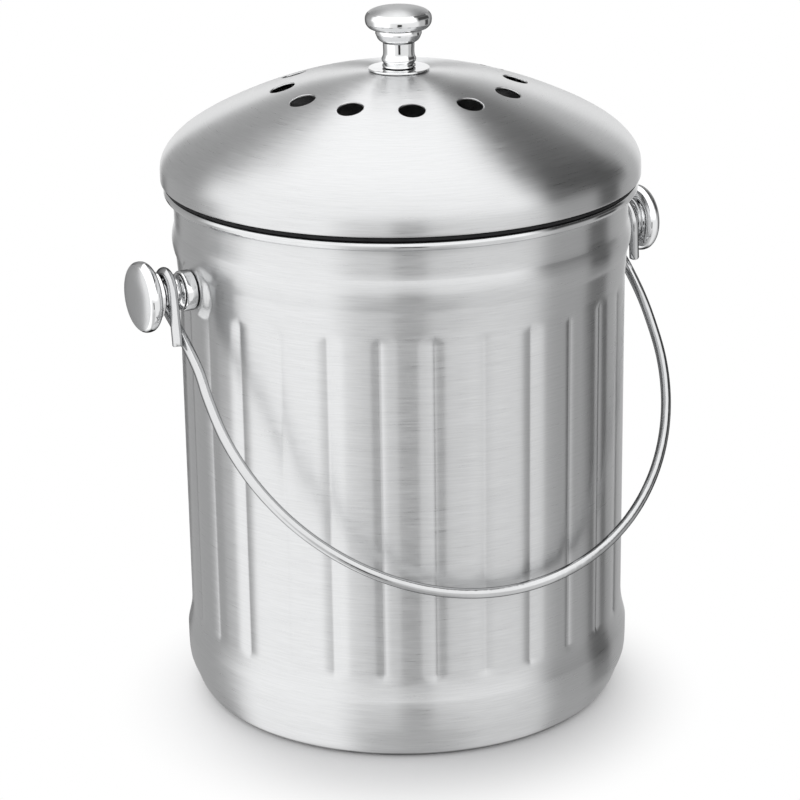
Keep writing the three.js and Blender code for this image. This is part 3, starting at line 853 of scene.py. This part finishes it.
# Lid: dome, skirt and seal
# The dome is spun from stainless sheet, pierced with twelve round vents and folded under at its hem.
# A ring of the same sheet is spot welded inside the hem and drops into the neck, and a rubber ring
# lies under the hem.
lid_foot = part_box("lid_dome")[0].z
lid_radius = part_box("lid_dome")[1].y
dome_height = 41.3 * mm
dome_flat = 14.0 * mm
hem_width = 1.8 * mm
hem_height = 2.2 * mm
dome_shares = [
    (1.0, 0.087), (0.997, 0.169), (0.978, 0.267), (0.925, 0.398), (0.845, 0.521),
    (0.736, 0.647), (0.611, 0.768), (0.459, 0.886), (0.33, 0.957), (0.205, 0.991),
]
vent_count = 12
vent_radius = 5.1 * mm
vent_circle = 46.5 * mm
first_vent = math.radians(8.4)
vent_columns = 36
vent_block = 12
vent_ring = 6
vent_field = math.radians(10.0) * vent_circle
rows_below_vents = 30
rows_above_vents = 20
dome_steps = 12
dome_sharp = 38.0
# The round edge of a vent, in mm: how much wider than the vent, and how far into the sheet.
vent_lip = [(0.12, 0.06), (0.0, 0.25), (0.0, 0.6), (0.1, 0.75)]
vent_lip_width = 0.35 * mm
lid_columns = 192
skirt_outer = 88.6 * mm
skirt_flange = 92.9 * mm
skirt_depth = 14.0 * mm
skirt_corner = 0.6 * mm
skirt_bend = 1.4 * mm
seal_inner = 88.9 * mm
seal_outer = 93.9 * mm
seal_rounding = 0.4 * mm


def dome_curve():
    made = shared(Vector((0.0, 0.0)), Vector((lid_radius, dome_height)), dome_shares)
    made += [Vector((dome_flat, dome_height)), Vector((hole_radius, dome_height))]
    return curve_through(made, dome_steps)


class Meridian:
    """The dome's outline from hem to top, by the length along it."""

    def __init__(self, points):
        self.points = points
        self.lengths = [0.0]
        for here, after in zip(points, points[1:]):
            self.lengths.append(self.lengths[-1] + (after - here).length)

    def at(self, length):
        length = min(max(length, 0.0), self.lengths[-1])
        place = 1
        while self.lengths[place] < length and place < len(self.lengths) - 1:
            place += 1
        start, end = self.lengths[place - 1], self.lengths[place]
        share = (length - start) / (end - start)
        return self.points[place - 1].lerp(self.points[place], share)

    def out(self, length):
        """The direction straight out of the dome."""
        along = (self.at(length + 0.5 * mm) - self.at(length - 0.5 * mm)).normalized()
        return Vector((along.y, -along.x))

    def to_radius(self, radius):
        """The length at which the outline has come in to a radius."""
        for here, length in zip(self.points, self.lengths):
            if here.x <= radius:
                return length
        return self.lengths[-1]


def spun_dome():
    """The dome's two faces and folded hem. Round each vent the grid is drawn to the vent's circle."""
    meridian = Meridian(dome_curve())
    middle = meridian.to_radius(vent_circle)
    top = Vector((meridian.lengths[-1], 0.0))
    below = straight(Vector((0.0, 0.0)), Vector((middle - vent_field, 0.0)), rows_below_vents)
    above = straight(Vector((middle + vent_field, 0.0)), top, rows_above_vents)
    beside = [middle + vent_field * step / vent_block for step in range(1 - vent_block, vent_block)]
    lengths = [spot.x for spot in below] + beside + [spot.x for spot in above]
    centre_row = len(below) + vent_block - 1
    columns = vent_count * vent_columns
    lip = vent_radius + vent_lip_width

    def surface(length, turn, depth):
        spot = meridian.at(length) - meridian.out(length) * depth
        return plain_wall(spot.x, turn, spot.y + lid_foot)

    def vent_offset(row, column):
        """How many columns and rows a place lies from the middle of the nearest vent."""
        across = (column + vent_columns // 2) % vent_columns - vent_columns // 2
        return across, row - centre_row

    def place_at(row, column, depth):
        across, up = vent_offset(row, column)
        size = max(abs(across), abs(up))
        turn = first_vent + full_turn * column / columns
        if not 0 < size < vent_block:
            return surface(lengths[row], turn, depth)
        angle = math.atan2(up, across)
        share = max(size - vent_ring, 0) / (vent_block - vent_ring)
        round_length = middle + lip * math.sin(angle)
        round_turn = lip * math.cos(angle) / meridian.at(round_length).x
        centre_turn = turn - full_turn * across / columns
        drawn_turn = centre_turn + blend(round_turn, turn - centre_turn, share)
        return surface(blend(round_length, lengths[row], share), drawn_turn, depth)

    vertices, rings = [], []

    def ring_of(make):
        rings.append(list(range(len(vertices), len(vertices) + columns)))
        vertices.extend(make(column) for column in range(columns))

    def plain_ring(radius, height):
        height += lid_foot
        ring_of(lambda column: plain_wall(radius, first_vent + full_turn * column / columns, height))

    fold = Vector((lid_radius - hem_width / 2.0, hem_width / 2.0))
    for spot in arc(fold, hem_width / 2.0, -90.0, 0.0, 6):
        plain_ring(spot.x, spot.y)
    plain_ring(lid_radius, hem_height)
    outer_start = len(rings)
    for row in range(len(lengths)):
        ring_of(lambda column: place_at(row, column, 0.0))
    inner_start = len(rings)
    for row in reversed(range(len(lengths))):
        ring_of(lambda column: place_at(row, column, sheet))
    plain_ring(lid_radius - hem_width, hem_height)
    for spot in arc(fold, hem_width / 2.0, 180.0, 270.0, 6)[:-1]:
        plain_ring(spot.x, spot.y)

    def is_open(row, column):
        """Whether the cell above this row and beside this column lies in a vent."""
        corners = [vent_offset(row + up, column + beside) for up in (0, 1) for beside in (0, 1)]
        return all(max(abs(across), abs(up)) <= vent_ring for across, up in corners)

    faces = []
    count = len(rings)
    for place in range(count):
        lower, upper = rings[place], rings[(place + 1) % count]
        row = None
        if outer_start <= place < inner_start - 1:
            row = place - outer_start
        if inner_start <= place < inner_start + len(lengths) - 1:
            row = len(lengths) - 2 - (place - inner_start)
        for column in range(columns):
            if row is not None and is_open(row, column):
                continue
            beside = (column + 1) % columns
            faces.append([lower[column], lower[beside], upper[beside], upper[column]])

    edge = ([(vent_ring, up) for up in range(-vent_ring, vent_ring)]
            + [(across, vent_ring) for across in range(vent_ring, -vent_ring, -1)]
            + [(-vent_ring, up) for up in range(vent_ring, -vent_ring, -1)]
            + [(across, -vent_ring) for across in range(-vent_ring, vent_ring)])
    for vent in range(vent_count):
        centre_turn = first_vent + full_turn * vent / vent_count
        spots = [((vent * vent_columns + across) % columns, centre_row + up) for across, up in edge]
        loops = [[rings[outer_start + row][column] for column, row in spots]]
        for wide, depth in vent_lip:
            loops.append(list(range(len(vertices), len(vertices) + len(edge))))
            for across, up in edge:
                angle = math.atan2(up, across)
                radius = vent_radius + wide * mm
                length = middle + radius * math.sin(angle)
                turn = centre_turn + radius * math.cos(angle) / meridian.at(length).x
                vertices.append(surface(length, turn, depth * mm))
        loops.append([rings[inner_start + len(lengths) - 1 - row][column] for column, row in spots])
        faces.extend(woven_faces(loops, False))

    used = sorted({corner for face in faces for corner in face})
    renumbered = {corner: place for place, corner in enumerate(used)}
    kept_faces = [[renumbered[corner] for corner in face] for face in faces]
    return new_piece("spun_dome", [vertices[corner] for corner in used], kept_faces, dome_sharp)


def inner_skirt():
    """A ring with an outward flange, each edge of the sheet rounded."""
    inner = skirt_outer - sheet
    half = sheet / 2.0
    outline = [
        *arc(Vector((inner + half, half - skirt_depth)), half, 180.0, 360.0, 8),
        *arc(Vector((skirt_outer + skirt_corner, -skirt_corner)), skirt_corner, 180.0, 90.0, 4),
        *arc(Vector((skirt_flange - half, half)), half, -90.0, 90.0, 6),
        *arc(Vector((inner + skirt_bend, sheet - skirt_bend)), skirt_bend, 90.0, 180.0, 6),
    ]
    return turned("inner_skirt", [spot + Vector((0.0, lid_foot)) for spot in outline], lid_columns)


def level_ring(name, node, inner, outer, rounding, columns):
    """A ring as high as a node, round the pail's axis."""
    low, high = (corner.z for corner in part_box(node))
    return turned(name, rounded_ring(inner, outer, low, high, rounding), columns)


rim_seal = level_ring("rim_seal", "lid_seal", seal_inner, seal_outer, seal_rounding, lid_columns)
lid_steel = brushed_steel("lid_steel")
fitted(spun_dome(), "lid_dome", lid_steel)
fitted(inner_skirt(), "lid_skirt", washer_steel)
fitted(rim_seal, "lid_seal", black_rubber)


# Lid knob
# A turned and plated knob stands on a thin polished washer on top of the dome. A pan-head screw and a
# wide washer clamp them from inside.
grip_foot = Vector((6.5, 0.8)) * mm
grip_foot_groove = Vector((5.9, 1.2)) * mm
grip_bulge = Vector((6.8, 3.0)) * mm
grip_stem_start = Vector((6.2, 4.8)) * mm
grip_stem_end = Vector((6.2, 9.6)) * mm
grip_cup = Vector((9.1, 13.2)) * mm
grip_groove = Vector((9.05, 14.0)) * mm
grip_waist = Vector((8.9, 14.7)) * mm
grip_head = Vector((13.1, 18.7)) * mm
grip_length = 23.7 * mm
grip_satin = 21.6 * mm
grip_washer_radius = 12.05 * mm
grip_washer_rounding = 0.3 * mm
inner_washer_radius = 10.0 * mm


def grip_outline():
    return [
        *knob_foot_edge(grip_foot),
        grip_foot,
        *curve_through([grip_foot_groove, grip_bulge, grip_stem_start, grip_stem_end], 5),
        *curve_through(shared(grip_stem_end, grip_cup, cup_shares), 5)[1:],
        *knob_top(grip_cup, grip_groove, grip_waist, grip_head, grip_length),
    ]


def raised(piece, height):
    piece.data.transform(Matrix.Translation((0.0, 0.0, height)))
    return piece


grip_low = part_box("lid_knob")[0].z
grip_screw_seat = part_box("lid_knob_screw")[0].z + screw_head[1]
grip = raised(turned("turned_grip", grip_outline(), turned_columns, False), grip_low)
grip_washer = level_ring(
    "grip_washer", "lid_knob_washer", hole_radius, grip_washer_radius, grip_washer_rounding, turned_columns,
)
inner_ring = level_ring(
    "inner_ring", "lid_inner_washer", hole_radius, inner_washer_radius, washer_rounding, hidden_columns,
)
grip_screw = raised(pan_screw("grip_screw", grip_low + screw_reach - grip_screw_seat), grip_screw_seat)
thin_plated_steel = plain_finish(
    "thin_plated_steel", plated_color, (0.035, 0.08), spot_size=9.0 * mm, bump=0.05, bump_size=6.0 * mm,
)
fitted(grip, "lid_knob", plated_steel)
satin_crown(grip, lambda place: place.z > grip_low + grip_satin)
fitted(grip_washer, "lid_knob_washer", thin_plated_steel)
fitted(inner_ring, "lid_inner_washer", washer_steel)
fitted(grip_screw, "lid_knob_screw", washer_steel)


# Filter and its tray
# A round pad of carbon-filled felt lies in a moulded black plastic tray. The tray's thin flange grips
# the inside of the dome, so the whole tray pulls down for a new pad.
tray_floor = 14.0 * mm
tray_floor_thickness = 1.6 * mm
tray_rim = 27.0 * mm
tray_wall = 1.8 * mm
tray_flange_low = 23.0 * mm
tray_flange_thickness = 1.4 * mm
tray_ledge = 5.0 * mm
tray_hub = 9.0 * mm
tray_bar = 3.0 * mm
tray_bars = 4
tray_rounding = 0.4 * mm
tray_gap = 0.3 * mm
tray_columns = 144
hub_columns = 48
tray_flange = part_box("filter_tray")[1].y
pad_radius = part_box("charcoal_filter")[1].y
pad_low, pad_high = (corner.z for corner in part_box("charcoal_filter"))
pad_middle = (pad_low + pad_high) / 2.0
pad_rounding = 1.2 * mm
pad_columns = 240
pad_rows = 40
fuzz_scales = (700.0, 1900.0)
fuzz_depth = 0.14


def tray_outline():
    """The tray's wall with its flange outside and its ledge inside, each corner a little bevelled."""
    bore = pad_radius + tray_gap
    outer = bore + tray_wall
    ledge = bore - tray_ledge
    flange_high = tray_flange_low + tray_flange_thickness
    floor_top = tray_floor + tray_floor_thickness
    soft = tray_rounding
    return places(
        (ledge, tray_floor + soft), (ledge + soft, tray_floor),
        (outer - soft, tray_floor), (outer, tray_floor + soft),
        (outer, tray_flange_low), (tray_flange - soft, tray_flange_low),
        (tray_flange, tray_flange_low + soft), (tray_flange - soft, flange_high),
        (outer, flange_high), (outer, tray_rim - soft),
        (outer - soft, tray_rim), (bore + soft, tray_rim), (bore, tray_rim - soft),
        (bore, floor_top), (ledge + soft, floor_top), (ledge, floor_top - soft),
    )


def filter_holder():
    """The tray with a hub in its floor, which crossed bars join to the ledge."""
    tray = turned("filter_holder", tray_outline(), tray_columns)
    floor_top = tray_floor + tray_floor_thickness
    hub = places(
        (0.0, tray_floor), (tray_hub - tray_rounding, tray_floor),
        (tray_hub, tray_floor + tray_rounding), (tray_hub, floor_top), (0.0, floor_top),
    )
    cut_by(tray, turned("hub", hub, hub_columns, False), "UNION")
    length = 2.0 * pad_radius - tray_ledge
    middle = Vector((0.0, 0.0, tray_floor + tray_floor_thickness / 2.0))
    for place in range(tray_bars):
        bar = box_piece("bar", (length, tray_bar, tray_floor_thickness), middle)
        bar.data.transform(Matrix.Rotation(math.pi * place / tray_bars, 4, "Z"))
        cut_by(tray, bar, "UNION")
    return raised(tray, lid_foot)


def felt_wall(radius, turn, height):
    """A place on the pad, drawn in by the felt's uneven surface."""
    place = plain_wall(radius, turn, height)
    coarse, fine = (noise.noise(place * scale) for scale in fuzz_scales)
    fuzz = coarse + 0.6 * fine
    outward = Vector((place.x, place.y, (height - pad_middle) * 30.0)).normalized()
    return place - outward * (fuzz_depth + fuzz_depth * fuzz) * mm


def charcoal_pad():
    soft = pad_rounding
    inner = pad_radius - soft
    outline = [
        *straight(Vector((0.0, pad_low)), Vector((inner, pad_low)), pad_rows),
        *arc(Vector((inner, pad_low + soft)), soft, -90.0, 0.0, 4)[1:],
        *straight(Vector((pad_radius, pad_low + soft)), Vector((pad_radius, pad_high - soft)), 6)[1:],
        *arc(Vector((inner, pad_high - soft)), soft, 0.0, 90.0, 4)[1:],
        *straight(Vector((inner, pad_high)), Vector((0.0, pad_high)), pad_rows)[1:],
    ]
    return turned("charcoal_pad", outline, pad_columns, False, felt_wall, sharp_degrees=180.0)


def charcoal_felt():
    material, tree = new_material("charcoal_felt")
    place = add(tree, "TexCoord").outputs["Object"]
    fibres = add(tree, "TexNoise", {"Vector": place, "Scale": 2600.0, "Detail": 4.0}).outputs["Fac"]
    grains = add(tree, "TexVoronoi", {"Vector": place, "Scale": 1300.0}).outputs["Distance"]
    shade = spread(tree, fibres, 0.3, 0.7, 0.012, 0.045, "LINEAR")
    base = add(tree, "CombineColor", {0: shade, 1: shade, 2: reckon(tree, "MULTIPLY", shade, 1.04)})
    rough = spread(tree, grains, 0.0, 0.6, 0.75, 1.0, "LINEAR")
    relief = add(tree, "Bump", {"Height": fibres, "Strength": 0.7, "Distance": 0.0004})
    shader = add(tree, "BsdfPrincipled", {
        "Base Color": base.outputs[0], "Roughness": rough, "Metallic": 0.0, "Specular IOR Level": 0.2,
        "Sheen Weight": 0.25, "Sheen Roughness": 0.5, "Normal": relief.outputs[0],
    })
    tree.links.new(shader.outputs[0], add(tree, "OutputMaterial").inputs[0])
    return material


tray_plastic = plain_finish(
    "tray_plastic", (0.022, 0.022, 0.024), (0.38, 0.52), spot_size=12.0 * mm, bump=0.35, bump_size=0.5 * mm,
    metallic=0.0,
)
fitted(filter_holder(), "filter_tray", tray_plastic)
fitted(charcoal_pad(), "charcoal_filter", charcoal_felt())


bpy.context.view_layer.update()
